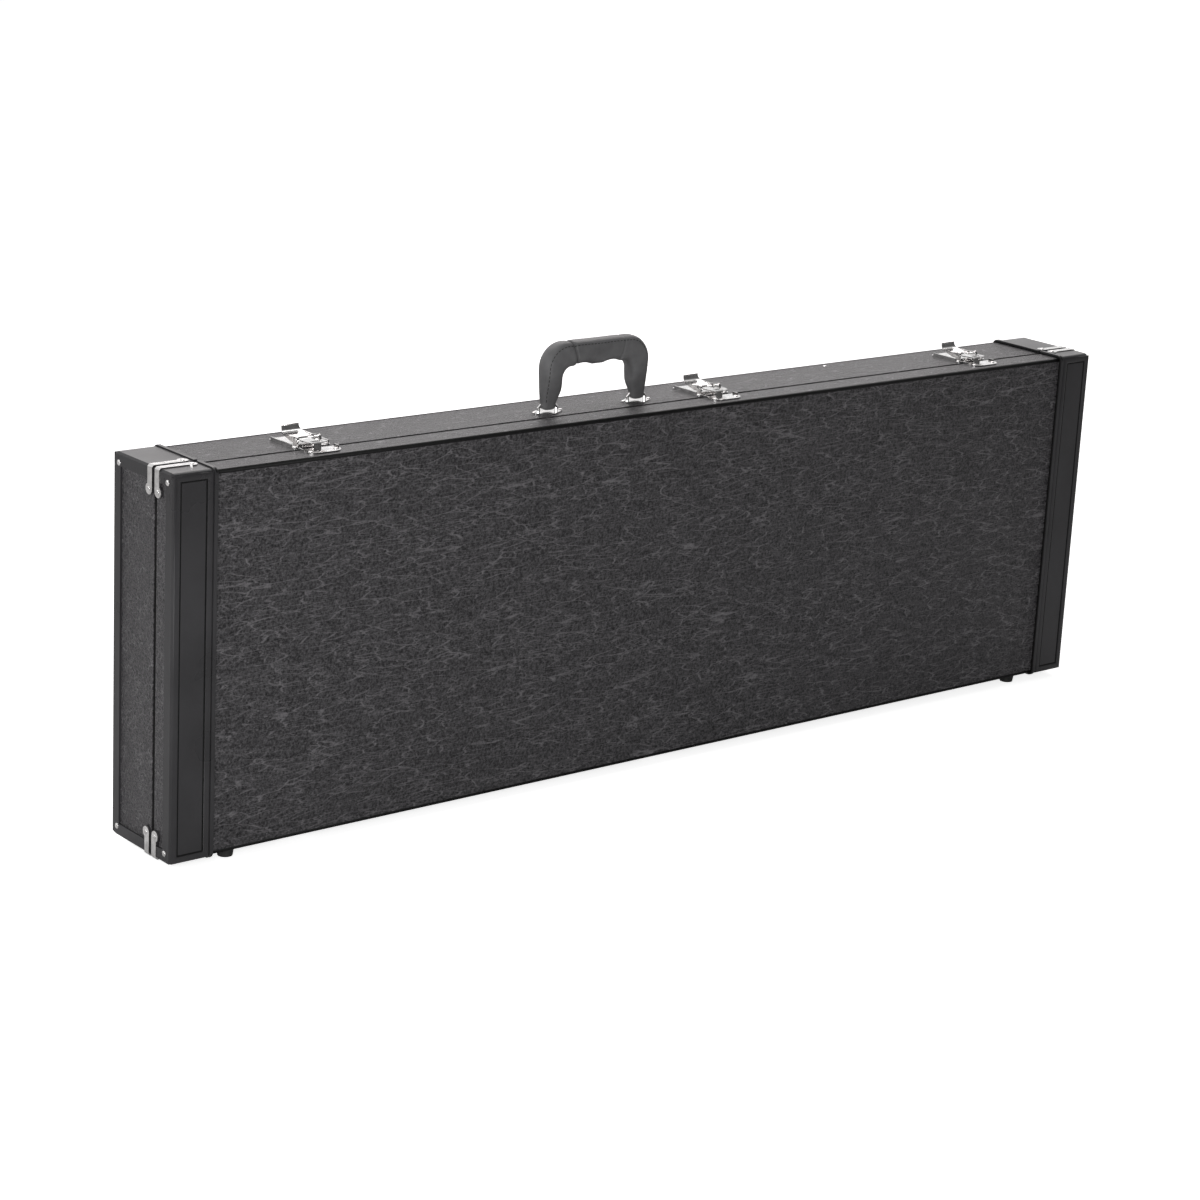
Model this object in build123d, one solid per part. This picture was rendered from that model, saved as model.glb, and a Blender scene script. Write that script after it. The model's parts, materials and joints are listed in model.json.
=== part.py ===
"""Rectangular hard case for a bass guitar, standing on its long hinged edge as it is carried and stored.

X runs along the case, Y from the lid (front, -Y) to the back, Z up. Millimetres. The origin lies on the
ground, under the middle of the case. The deep tray behind is the fixed body; the shallow tray in front is
the lid, hinged along the bottom. Three draw latches and a folding handle sit on the top edge. The latches
are drawn just released, with each hook lifted clear of its catch.
"""

import os

from build123d import *

# Overall shell: vinyl covered plywood, two trays that meet at the seam
shell_length = 1232.0
shell_height = 381.0
shell_depth = 104.0
lid_depth = 32.0
wall = 6.0
covering = 1.0
shell_edge_radius = 4.0

# Padded end caps: bands over both ends with a lip on the end faces and a raised welt
cap_thickness = 2.0
cap_band = 48.0
cap_lip = 13.0
cap_slant = 2.0
welt_width = 4.0
welt_height = 1.4

# Rims that edge both trays, sunk a little so that the seam reads as a dark line
rim_depth = 2.4
rim_sink = 0.8
seam_gap = 0.8
tongue_reach = 4.0
tongue_thickness = 1.5
tongue_clearance = 0.5

# Plush lining
lining = 2.0
lid_lining_setback = 6.0

# Feet
foot_radius = 9.0
foot_height = 8.0
foot_taper = 1.5
foot_sides = 24
foot_inset_x = 71.0
lid_foot_inset = 15.0
base_foot_inset = 20.0

# Corner clips of sheet metal that wrap the cap edges beside the seam
clip_thickness = 1.0
clip_width = 8.0
clip_lobe_radius = 5.6
clip_side_leg = 41.0
clip_end_leg = 28.0
lobe_sides = 16

# Nails on the end lips
nail_radius = 3.0
nail_height = 1.2
nail_inset = 8.0

# Rivet heads
rivet_radius = 2.4
rivet_height = 1.0
head_sides = 8
head_taper = 30.0
stud_station = (285.0, 40.0)

# Hinges along the bottom edge
hinge_end_inset = 156.0
hinge_length = 40.0
hinge_middle = 14.0
hinge_leaf_width = 20.0
hinge_leaf_thickness = 1.0
hinge_knuckle_radius = 2.6
hinge_pin_radius = 1.3
hinge_fit = 0.04
hinge_gap = 0.35
hinge_axis_drop = 3.7
hinge_pin_head = 0.6
knuckle_sides = 12

# Draw latches on the top edge, drawn first as if fastened
latch_body_inset = 176.0
latch_middle = 72.0
latch_head_inset = 154.0
latch_sheet = 1.2
latch_plate_width = 44.0
latch_plate_length = 46.0
latch_setback = 3.2
latch_corner = 5.0
latch_rivet_edge = 4.4
latch_rail_height = 4.2
ear_gap = 26.0
ear_reach = 3.4
pivot_back = 13.0
pivot_height = 6.4
link_back = 9.0
link_drop = 2.2
latch_pin_radius = 1.25
latch_pin_fit = 0.04
pivot_head_radius = 2.2
pivot_head_height = 0.8
side_play = 0.35
lever_boss = 3.2
link_boss = 2.4
lever_plate_start = 3.2
lever_plate_length = 13.0
lever_curl_radius = 6.0
lever_tip_width = 19.0
lever_ajar = 6.5
bail_ratio = -1.55
bail_width = 20.0
bail_knuckle_radius = 2.2
bail_bar = 2.9
bail_window = (12.0, 5.2)
hook_width = 9.0
hook_height = 5.5
hook_slack = 0.9
catch_width = 42.0
catch_length = 18.5
catch_corner = 11.0
catch_rail_height = 3.2
catch_rivet_span = 29.0

# Handle and its two brackets
handle_station = -82.0
handle_pivot_span = 118.0
handle_y = 0.0
handle_pivot_height = 8.0
handle_top = 73.0
handle_opening = 46.0
handle_half_width = 68.5
handle_inner_half = 45.0
handle_knee = 30.0
handle_depth = 22.0
handle_foot_depth = 12.0
handle_foot_width = 13.0
handle_full_depth_at = 42.0
handle_shoulder = 26.0
handle_inner_corner = 12.0
handle_outer_slant = 6.0
handle_inner_slant = 2.5
finger_hollow = 2.5
finger_radius = 34.0
finger_offset = 19.0
finger_span = 66.0
handle_knee_round = 10.0
staple_wire_radius = 1.6
staple_half_span = 11.5
staple_bend = 3.0
wire_sides = 12
staple_fit = 0.06
bracket_length = 46.0
bracket_width = 26.0
bracket_thickness = 1.2
bracket_corner = 4.0
bracket_rivet_offset = 17.0

# Inside of the deep tray
pad_front_setback = 6.0
pad_round = 5.0
neck_bottom = 163.0
neck_top = 245.0
shoulder_start = -170.0
shoulder_radius = 120.0
shoulder_centre_x = -190.0
end_pad_thickness = 18.0
end_pad_inset = 45.0
head_pad_length = 44.0
neck_rest_start = 250.0
neck_rest_length = 48.0
neck_rest_height = 46.0
neck_notch_width = 58.0
neck_notch_depth = 24.0

# Accessory compartment with its own lid
box_start = -40.0
box_length = 270.0
box_wall = 5.0
box_lid_thickness = 4.0
box_lid_fit = 1.0
box_rod_radius = 1.5
box_rod_fit = 0.06
box_barrel_radius = 3.0
box_rod_lift = 4.0
box_lid_proud = 0.3
tab_width = 16.0
tab_length = 22.0
tab_thickness = 1.5
tab_overhang = 5.0

# Places that follow from the sizes above
shell_bottom = foot_height + cap_thickness
shell_top = shell_bottom + shell_height
shell_mid_z = (shell_bottom + shell_top) / 2
front_y = -shell_depth / 2
back_y = shell_depth / 2
seam_y = front_y + lid_depth
end_x = shell_length / 2
hinge_stations = (hinge_end_inset - end_x, 0.0, end_x - hinge_end_inset)
latch_stations = (latch_body_inset - end_x, latch_middle, end_x - latch_head_inset)
hinge_axis_z = shell_bottom - hinge_axis_drop
inner_back_y = back_y - wall - lining
inner_bottom = shell_bottom + wall + lining
inner_top = shell_top - wall - lining
inner_end = end_x - wall - lining
pad_front_y = seam_y + pad_front_setback
pivot_y = seam_y + pivot_back
pivot_z = shell_top + pivot_height
link_y = pivot_y + link_back
link_z = pivot_z - link_drop
hook_y = seam_y - latch_setback
handle_pivot_z = shell_top + handle_pivot_height
ear_outer = ear_gap / 2 + latch_sheet
flange_outer = ear_gap / 2 - side_play
flange_inner = flange_outer - latch_sheet
box_rod_y = pad_front_y + box_barrel_radius - box_lid_proud
box_rod_z = neck_top + box_wall + box_rod_lift
sides = (-1, 1)


def block(x0, x1, y0, y1, z0, z1):
    """A box between two corners."""
    size = (x1 - x0, y1 - y0, z1 - z0)
    return Pos((x0 + x1) / 2, (y0 + y1) / 2, (z0 + z1) / 2) * Box(*size)


def rod_x(radius, x0, x1, y, z):
    """A round bar along X."""
    return Pos((x0 + x1) / 2, y, z) * Rot(0, 90, 0) * Cylinder(radius, x1 - x0)


def rod_y(radius, y0, y1, x, z):
    """A round bar along Y."""
    return Pos(x, (y0 + y1) / 2, z) * Rot(90, 0, 0) * Cylinder(radius, y1 - y0)


def across(face, x0, x1):
    """A flat outline given in (Y, Z), drawn out along X."""
    return extrude(Plane.YZ.offset(x0) * face, x1 - x0)


def upward(face, z0, z1):
    """A flat outline given in (X, Y), drawn out along Z."""
    return extrude(Pos(0, 0, z0) * face, z1 - z0)


def turned(shape, y, z, angle):
    """A shape turned about the line along X through (y, z)."""
    return Pos(0, y, z) * Rot(angle, 0, 0) * Pos(0, -y, -z) * shape


def both_ends(shape):
    """A shape and its copy at the other end of the case."""
    return [shape, mirror(shape, Plane.YZ)]


def head(radius, height):
    """A low fastener head that stands on the XY plane, with few sides."""
    return extrude(RegularPolygon(radius, head_sides), height, taper=head_taper)


def long_envelope(grow):
    """The whole closed case, grown outwards by grow, with its long edges rounded."""
    body = Box(shell_length + 2 * grow, shell_depth + 2 * grow, shell_height + 2 * grow)
    return Pos(0, 0, shell_mid_z) * fillet(body.edges().filter_by(Axis.X), shell_edge_radius + grow)


def envelope(grow):
    """The same with the edges around both end faces slanted too, as the padded caps have them."""
    body = long_envelope(grow)
    ends = body.faces().filter_by(Axis.X)
    return chamfer([edge for face in ends for edge in face.edges()], cap_slant)


def far_block(x0=-2000.0, x1=2000.0, y0=-2000.0, y1=2000.0, z0=-2000.0, z1=2000.0):
    """A box that reaches past the case on every side that isn't given."""
    return block(x0, x1, y0, y1, z0, z1)


def half(deep):
    """Everything on the tray's side of the seam, clear of the sunk rims."""
    if deep:
        return far_block(y0=seam_y + rim_depth)
    return far_block(y1=seam_y - rim_depth)


def inner_block(inset, y0, y1):
    """The space inside the side walls, inset from the shell's outer faces, between two depths."""
    return block(-end_x + inset, end_x - inset, y0, y1, shell_bottom + inset, shell_top - inset)


def tray(deep):
    """One plywood tray, under its covering."""
    hollow = inner_block(wall, front_y + wall, back_y - wall)
    return (long_envelope(-covering) & half(deep)) - hollow


def tray_covering(deep):
    """The vinyl glued over the outside of one tray."""
    return (long_envelope(0) - long_envelope(-covering)) & half(deep)


def rim(deep):
    """The edging of one tray. The deep tray's edging has a tongue that enters the lid."""
    side = 1 if deep else -1
    near = seam_y + side * seam_gap / 2
    far = seam_y + side * rim_depth
    low, high = min(near, far), max(near, far)
    ring = long_envelope(-rim_sink) & far_block(y0=low, y1=high)
    ring -= inner_block(wall, low, high)
    if not deep:
        return ring
    tongue_out = wall + tongue_clearance
    tongue_in = tongue_out + tongue_thickness
    root = inner_block(wall, near, far) - inner_block(tongue_in, near, far)
    reach = seam_y - tongue_reach
    tongue = inner_block(tongue_out, reach, far) - inner_block(tongue_in, reach, far)
    return ring + root + tongue


def tray_lining(deep):
    """Plush glued to the inside of one tray."""
    y0 = seam_y + rim_depth if deep else front_y + wall
    y1 = back_y - wall if deep else seam_y - lid_lining_setback
    cut0 = y0 if deep else y0 + lining
    cut1 = y1 - lining if deep else y1
    return inner_block(wall, y0, y1) - inner_block(wall + lining, cut0, cut1)


def clip_region(deep):
    """The outline of the top right clip, as thick blocks through the edge it wraps."""
    way = 1 if deep else -1
    near = seam_y + way * rim_depth
    strip = sorted((near, near + way * clip_width))
    lobe_y = near + way * clip_lobe_radius
    x_out = end_x + cap_thickness
    z_out = shell_top + cap_thickness
    deep_in = 3 * clip_thickness + shell_edge_radius
    side_end = x_out - clip_side_leg + clip_lobe_radius
    end_end = z_out - clip_end_leg + clip_lobe_radius
    side = block(side_end, x_out + 4, *strip, z_out - deep_in, z_out + 4)
    lobe = RegularPolygon(clip_lobe_radius, lobe_sides)
    side += upward(Pos(side_end, lobe_y) * lobe, z_out - deep_in, z_out + 4)
    end = block(x_out - deep_in, x_out + 4, *strip, end_end, z_out + 4)
    end += across(Pos(lobe_y, end_end) * lobe, x_out - deep_in, x_out + 4)
    return side + end


def four_corners(shape):
    """A shape at the top right, with its copies below and at the other end."""
    lower = mirror(shape, Plane.XY.offset(shell_mid_z))
    return both_ends(shape) + both_ends(lower)


def corner_clips(deep):
    """The four clips of one tray."""
    sheet = envelope(cap_thickness + clip_thickness) - envelope(cap_thickness)
    return four_corners(sheet & clip_region(deep))


def clip_rivets(deep):
    """The rivets through the round ends of the clips."""
    way = 1 if deep else -1
    y = seam_y + way * (rim_depth + clip_lobe_radius)
    outer = cap_thickness + clip_thickness
    x_out = end_x + cap_thickness
    z_out = shell_top + cap_thickness
    on_top = Pos(x_out - clip_side_leg + clip_lobe_radius, y, shell_top + outer)
    on_end = Pos(end_x + outer, y, z_out - clip_end_leg + clip_lobe_radius) * Rot(0, 90, 0)
    small = head(rivet_radius, rivet_height)
    return four_corners(on_top * small) + four_corners(on_end * small)


def end_cap(deep, side):
    """The padded band over one end of one tray, with its lip, its welt and its pads under the clips."""
    band_start = end_x + cap_thickness - cap_band
    skin = envelope(cap_thickness) - long_envelope(0)
    band = skin & far_block(x0=band_start)
    welt_end = band_start + welt_width
    welt = long_envelope(cap_thickness + welt_height) - long_envelope(0)
    welt &= far_block(x0=band_start, x1=welt_end)
    inset = cap_lip - cap_thickness
    window = block(
        end_x - wall,
        end_x + wall,
        front_y + inset,
        back_y - inset,
        shell_bottom + inset,
        shell_top - inset,
    )
    pad = skin & clip_region(deep)
    pads = pad + mirror(pad, Plane.XY.offset(shell_mid_z))
    cap = ((band + welt - window) & half(deep)) + pads
    return cap if side > 0 else mirror(cap, Plane.YZ)


def cap_nails(deep):
    """The round nail heads in the outer corners of the end lips."""
    y = back_y - nail_inset if deep else front_y + nail_inset
    place = Pos(end_x + cap_thickness, y, shell_top - nail_inset) * Rot(0, 90, 0)
    return four_corners(place * head(nail_radius, nail_height))


def feet(deep):
    """The two feet of one tray, wider where they meet the case."""
    y = back_y - base_foot_inset if deep else front_y + lid_foot_inset
    foot = loft([
        RegularPolygon(foot_radius - foot_taper, foot_sides),
        Pos(0, 0, shell_bottom) * RegularPolygon(foot_radius, foot_sides),
    ])
    return both_ends(Pos(end_x - foot_inset_x, y) * foot)


def hinge_leaf(deep):
    """One leaf at the middle of the case: a plate under the tray and its knuckles."""
    way = 1 if deep else -1
    half_length = hinge_length / 2
    middle = hinge_middle / 2
    plate_y = sorted((seam_y + way * rim_depth, seam_y + way * hinge_leaf_width))
    low = shell_bottom - hinge_leaf_thickness
    leaf = block(-half_length, half_length, *plate_y, low, shell_bottom)
    spans = [(-middle, middle)]
    if deep:
        spans = [(-half_length, -middle - hinge_gap), (middle + hinge_gap, half_length)]
    neck_y = sorted((seam_y + way * hinge_gap, seam_y + way * (rim_depth + hinge_leaf_thickness)))
    neck_z = (hinge_axis_z, shell_bottom)
    profile = Pos(sum(neck_y) / 2, sum(neck_z) / 2) * Rectangle(neck_y[1] - neck_y[0], hinge_axis_drop)
    profile += Pos(seam_y, hinge_axis_z) * RegularPolygon(hinge_knuckle_radius, knuckle_sides)
    if deep:
        bore = RegularPolygon(hinge_pin_radius, knuckle_sides, major_radius=False)
    else:
        bore = Circle(hinge_pin_radius + hinge_fit)
    profile -= Pos(seam_y, hinge_axis_z) * bore
    for x0, x1 in spans:
        leaf += across(profile, x0, x1)
    return leaf


def hinge_pin():
    """One hinge pin with a head at each end."""
    half_length = hinge_length / 2
    pin = rod_x(hinge_pin_radius, -half_length, half_length, seam_y, hinge_axis_z)
    for side in sides:
        ends = sorted((side * half_length, side * (half_length + hinge_pin_head)))
        pin += across(Pos(seam_y, hinge_axis_z) * RegularPolygon(hinge_knuckle_radius, head_sides), *ends)
    return pin


def hinge_rivets(deep):
    """The two rivets of one leaf."""
    way = 1 if deep else -1
    y = seam_y + way * (hinge_leaf_width + rim_depth) / 2
    low = shell_bottom - hinge_leaf_thickness
    small = Rot(180, 0, 0) * head(rivet_radius, rivet_height)
    return [Pos(side * hinge_length * 0.32, y, low) * small for side in sides]


def at_stations(shapes, stations):
    """Copies of shapes at each station along the case."""
    group = shapes if isinstance(shapes, list) else [shapes]
    return [Pos(x, 0, 0) * shape for x in stations for shape in group]


def side_rails(width, y0, y1, height):
    """The two long edges of a pressed plate, turned up."""
    rails = []
    for side in sides:
        x = sorted((side * width / 2, side * (width / 2 - latch_sheet)))
        rails.append(block(*x, y0, y1, shell_top, shell_top + height))
    return rails


def latch_plate():
    """The plate riveted to the deep tray, with two ears bent up for the lever."""
    y0 = seam_y + latch_setback
    outline = Pos(0, y0 + latch_plate_length / 2) * RectangleRounded(
        latch_plate_width, latch_plate_length, latch_corner
    )
    plate = upward(outline, shell_top, shell_top + latch_sheet)
    ear = Pos(pivot_y, pivot_z) * RegularPolygon(ear_reach, lobe_sides)
    ear += Pos(pivot_y, (pivot_z + shell_top) / 2) * Rectangle(2 * ear_reach, pivot_height)
    ear -= Pos(pivot_y, pivot_z) * Circle(latch_pin_radius)
    for side in sides:
        plate += across(ear, *sorted((side * ear_gap / 2, side * ear_outer)))
    y1 = y0 + latch_plate_length - latch_corner
    return plate + side_rails(latch_plate_width, y0 + latch_corner, y1, latch_rail_height)


def latch_pivots():
    """The two short pivots of a lever, headed outside the ears."""
    pins = []
    for side in sides:
        inner = side * (flange_inner - 0.2)
        outer = side * ear_outer
        headed = side * (ear_outer + pivot_head_height)
        pin = rod_x(latch_pin_radius, *sorted((inner, outer)), pivot_y, pivot_z)
        round_head = Pos(pivot_y, pivot_z) * RegularPolygon(pivot_head_radius, head_sides)
        pin += across(round_head, *sorted((outer, headed)))
        pins.append(pin)
    return pins


def plate_rivets():
    """The four rivets of a latch plate."""
    small = head(rivet_radius, rivet_height)
    top = shell_top + latch_sheet
    x = latch_plate_width / 2 - latch_rivet_edge
    y0 = seam_y + latch_setback + latch_rivet_edge
    y1 = seam_y + latch_setback + latch_plate_length - latch_rivet_edge
    return [Pos(side * x, y, top) * small for side in sides for y in (y0, y1)]


def lever_closed():
    """The latch lever as if fastened: two flanges, a plate and a tab that curls up."""
    plate_y0 = link_y + lever_plate_start
    plate_y1 = plate_y0 + lever_plate_length
    plate_z0 = link_z
    plate_z1 = link_z + latch_sheet
    flange = Pos(pivot_y, pivot_z) * RegularPolygon(lever_boss, knuckle_sides)
    flange += Pos(link_y, link_z) * RegularPolygon(link_boss, knuckle_sides)
    flange += make_face(
        Polyline(
            (pivot_y, pivot_z + lever_boss),
            (pivot_y - 1, pivot_z - lever_boss + 0.2),
            (link_y, link_z - link_boss),
            (link_y + lever_plate_start, link_z - link_boss + 0.6),
            (plate_y1, plate_z0 + 0.2),
            (plate_y1, plate_z1),
            (link_y + lever_plate_start, plate_z1 + 1.0),
            (pivot_y, pivot_z + lever_boss),
        )
    )
    flange -= Pos(pivot_y, pivot_z) * Circle(latch_pin_radius + latch_pin_fit)
    curl_z = plate_z1 + lever_curl_radius
    ring = Circle(lever_curl_radius + latch_sheet) - Circle(lever_curl_radius)
    quarter = 2 * lever_curl_radius
    ring &= Pos(lever_curl_radius, -lever_curl_radius) * Rectangle(quarter, quarter)
    profile = Pos((plate_y0 + plate_y1) / 2, (plate_z0 + plate_z1) / 2) * Rectangle(
        plate_y1 - plate_y0, latch_sheet
    )
    profile += Pos(plate_y1, curl_z) * ring
    tab = across(profile, -flange_outer, flange_outer)
    tip_y = plate_y1 + lever_curl_radius + latch_sheet
    plan = make_face(
        Polyline(
            (-flange_outer, plate_y0 - 1),
            (flange_outer, plate_y0 - 1),
            (flange_outer, plate_y1 - 2),
            (lever_tip_width / 2, tip_y),
            (-lever_tip_width / 2, tip_y),
            (-flange_outer, plate_y1 - 2),
            (-flange_outer, plate_y0 - 1),
        )
    )
    tab &= upward(plan, shell_top, pivot_z + 3 * lever_plate_length)
    lever = tab
    for side in sides:
        lever += across(flange, *sorted((side * flange_inner, side * flange_outer)))
    return lever


def link_pin_closed():
    """The pin that carries the hook plate between the lever's flanges."""
    return rod_x(latch_pin_radius, -flange_inner, flange_inner, link_y, link_z)


def bail_closed():
    """The hook plate as if fastened: a knuckle, a flat plate and a window over the catch."""
    half_width = bail_width / 2
    bar_edge = hook_y - latch_sheet - hook_slack
    tip = bar_edge - bail_bar
    outline = Pos(0, (tip + link_y) / 2) * Rectangle(bail_width, link_y - tip)
    outline = fillet(outline.vertices().group_by(Axis.Y)[0], bail_bar)
    outline -= Pos(0, bar_edge + bail_window[1] / 2) * Rectangle(*bail_window)
    low = link_z - latch_sheet / 2
    plate = upward(outline, low, low + latch_sheet)
    knuckle = Pos(link_y, link_z) * RegularPolygon(bail_knuckle_radius, knuckle_sides)
    plate += across(knuckle, -half_width, half_width)
    return plate - rod_x(latch_pin_radius + latch_pin_fit, -bail_width, bail_width, link_y, link_z)


def released(shape, on_link):
    """A lever part, or a part that also swings on the link pin, moved from fastened to just released."""
    if on_link:
        shape = turned(shape, link_y, link_z, bail_ratio * lever_ajar)
    return turned(shape, pivot_y, pivot_z, lever_ajar)


def latch_catch():
    """The catch on the lid: a flat plate with a round front and an upright hook."""
    y1 = hook_y
    y0 = y1 - catch_length
    outline = Pos(0, (y0 + y1) / 2) * Rectangle(catch_width, catch_length)
    outline = fillet(outline.vertices().group_by(Axis.Y)[0], catch_corner)
    catch = upward(outline, shell_top, shell_top + latch_sheet)
    catch += side_rails(catch_width, y0 + catch_corner, y1, catch_rail_height)
    half_hook = hook_width / 2
    return catch + block(-half_hook, half_hook, y1 - latch_sheet, y1, shell_top, shell_top + hook_height)


def catch_rivets():
    """The two rivets of a catch."""
    small = head(rivet_radius, rivet_height)
    y = hook_y - catch_length * 0.62
    return [Pos(side * catch_rivet_span / 2, y, shell_top + latch_sheet) * small for side in sides]


def handle_bracket():
    """One diamond plate, drilled for the two legs of its staple."""
    x, y = bracket_length / 2, bracket_width / 2
    points = [(x, 0), (0, y), (-x, 0), (0, -y)]
    outline = make_face(Polyline(*points, points[0]))
    outline = fillet(outline.vertices(), bracket_corner)
    for side in sides:
        outline -= Pos(side * staple_half_span, 0) * RegularPolygon(staple_wire_radius, wire_sides)
    return upward(outline, shell_top, shell_top + bracket_thickness)


def staple():
    """The wire staple that a handle foot turns on, its bends cut across at a slant."""
    low, high = shell_top, handle_pivot_z
    span, bend = staple_half_span, staple_bend
    right = [(span - bend, high), (span, high - bend), (span, low)]
    points = [(-x, z) for x, z in reversed(right)] + right
    path = Polyline(*[(x, 0, z) for x, z in points])
    ring = Plane(origin=(-span, 0, low)) * RegularPolygon(staple_wire_radius, wire_sides)
    return sweep(ring, path=path, transition=Transition.RIGHT)


def handle_feet_places():
    """Where the two feet of the handle stand."""
    return [Pos(handle_station + side * handle_pivot_span / 2, handle_y, 0) for side in sides]


def bracket_rivets():
    """The two rivets of a handle bracket."""
    small = head(rivet_radius - 0.2, rivet_height)
    top = shell_top + bracket_thickness
    return [Pos(side * bracket_rivet_offset, 0, top) * small for side in sides]


def handle_outline():
    """The handle seen from the front, with the finger hollows under the grip."""
    foot = handle_pivot_span / 2
    half_foot = handle_foot_width / 2
    low = handle_pivot_height
    right = [
        (foot - half_foot, low),
        (foot + half_foot, low),
        (handle_half_width, handle_knee),
        (handle_half_width, handle_top),
    ]
    left = [(-x, z) for x, z in reversed(right)]
    inside = [
        (-handle_inner_half, handle_knee),
        (-handle_inner_half, handle_opening),
        (handle_inner_half, handle_opening),
        (handle_inner_half, handle_knee),
    ]
    points = right + left + inside
    face = make_face(Polyline(*points, points[0]))
    tops = [v for v in face.vertices() if abs(v.Y - handle_top) < 0.01]
    face = fillet(tops, handle_shoulder)
    inner = [v for v in face.vertices() if abs(v.Y - handle_opening) < 0.01]
    face = fillet(inner, handle_inner_corner)
    knees = [v for v in face.vertices() if abs(v.Y - handle_knee) < 0.01]
    face = fillet(knees, handle_knee_round)
    grip_zone = Pos(0, handle_opening) * Rectangle(finger_span, 8 * finger_hollow)
    for side in sides:
        centre = (side * finger_offset, handle_opening + finger_hollow - finger_radius)
        face -= Pos(*centre) * Circle(finger_radius) & grip_zone
    reach = finger_span / 2 - finger_hollow / 5
    ridge = [v for v in face.vertices() if abs(v.Y - handle_opening) < 0.01 and abs(v.X) < reach]
    return fillet(ridge, finger_hollow * 1.2)


def rim_edges(arch, inside):
    """The edges of the handle's two flat sides, either within its opening or around the outside."""
    found = []
    grip_middle = (handle_opening + handle_top) / 2
    for edge in arch.edges():
        middle = edge.center()
        on_side = abs(abs(middle.Y) - handle_depth / 2) < 0.01
        above_feet = edge.bounding_box().max.Z > handle_pivot_height + 0.5
        between_feet = abs(middle.X) < (handle_pivot_span - handle_foot_width) / 2
        in_opening = between_feet and middle.Z < grip_middle
        if on_side and above_feet and in_opening == inside:
            found.append(edge)
    return found


def handle():
    """The padded handle, thinner towards the feet so that it folds flat either way."""
    arch = extrude(Plane.XZ * handle_outline(), handle_depth / 2, both=True)
    arch = chamfer(rim_edges(arch, False), handle_outer_slant)
    arch = chamfer(rim_edges(arch, True), handle_inner_slant)
    slim = handle_foot_depth / 2
    full = handle_depth / 2 + 1
    low = handle_pivot_height
    side_view = [
        (-slim, low),
        (slim, low),
        (slim, low + 6),
        (full, handle_full_depth_at),
        (full, handle_top + 1),
        (-full, handle_top + 1),
        (-full, handle_full_depth_at),
        (-slim, low + 6),
    ]
    beyond = handle_half_width + handle_inner_corner
    arch &= across(make_face(Polyline(*side_view, side_view[0])), -beyond, beyond)
    for side in sides:
        x = side * handle_pivot_span / 2
        half_foot = handle_foot_width / 2
        arch += rod_x(slim, x - half_foot, x + half_foot, 0, low)
        bore = staple_wire_radius + staple_fit
        arch -= rod_x(bore, x - handle_foot_width, x + handle_foot_width, 0, low)
    return Pos(handle_station, handle_y, shell_top) * arch


def pad(x0, x1, z0, z1, front=pad_front_y):
    """A foam block on the back of the deep tray, rounded along its front edges."""
    body = block(x0, x1, front, inner_back_y, z0, z1)
    return fillet(body.faces().sort_by(Axis.Y)[0].edges(), pad_round)


def shoulder_pad(upper):
    """A block beside the neck that follows the instrument's shoulder."""
    if upper:
        body = block(shoulder_start, box_start, pad_front_y, inner_back_y, neck_top, inner_top)
        centre_z = neck_top + 10
    else:
        body = block(shoulder_start, box_start, pad_front_y, inner_back_y, inner_bottom, neck_bottom)
        centre_z = neck_bottom - 10
    return body - rod_y(shoulder_radius, pad_front_y - 1, inner_back_y + 1, shoulder_centre_x, centre_z)


def neck_rest():
    """The block under the neck, with a notch."""
    y1 = inner_back_y
    y0 = y1 - neck_rest_height
    mid = (neck_bottom + neck_top) / 2
    x1 = neck_rest_start + neck_rest_length
    body = block(neck_rest_start, x1, y0, y1, neck_bottom, neck_top)
    half_notch = neck_notch_width / 2
    return body - block(
        neck_rest_start - 1, x1 + 1, y0 - 1, y0 + neck_notch_depth, mid - half_notch, mid + half_notch
    )


def compartment_box():
    """The box beside the neck, drilled for the rod of its lid."""
    x1 = box_start + box_length
    outer = block(box_start, x1, pad_front_y, inner_back_y, neck_top, inner_top)
    w = box_wall
    hollow = block(box_start + w, x1 - w, pad_front_y - 1, inner_back_y - w, neck_top + w, inner_top - w)
    return outer - hollow - rod_x(box_rod_radius, box_start - 1, x1 + 1, box_rod_y, box_rod_z)


def compartment_lid():
    """The lid of the box, rolled around its rod along the lower edge."""
    x0 = box_start + box_wall + box_lid_fit
    x1 = box_start + box_length - box_wall - box_lid_fit
    top = inner_top - box_wall - box_lid_fit
    front = box_rod_y - box_barrel_radius
    lid = block(x0, x1, front, front + box_lid_thickness, box_rod_z, top)
    lid += rod_x(box_barrel_radius, x0, x1, box_rod_y, box_rod_z)
    return lid - rod_x(box_rod_radius + box_rod_fit, x0 - 1, x1 + 1, box_rod_y, box_rod_z)


def compartment_tab():
    """The pull tab on the front of the box lid."""
    y1 = box_rod_y - box_barrel_radius
    top = inner_top - box_wall - box_lid_fit + tab_overhang
    x = box_start + box_length / 2
    tab = block(x - tab_width / 2, x + tab_width / 2, y1 - tab_thickness, y1, top - tab_length, top)
    return fillet(tab.edges().filter_by(Axis.Y), 4)


def write(name, shape):
    """Writes one node's solids to its own file."""
    group = shape if isinstance(shape, list) else [shape]
    made = [s for item in group for s in item.solids()]
    export_step(Compound(children=made) if len(made) > 1 else made[0], f"parts/{name}.step")


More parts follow.
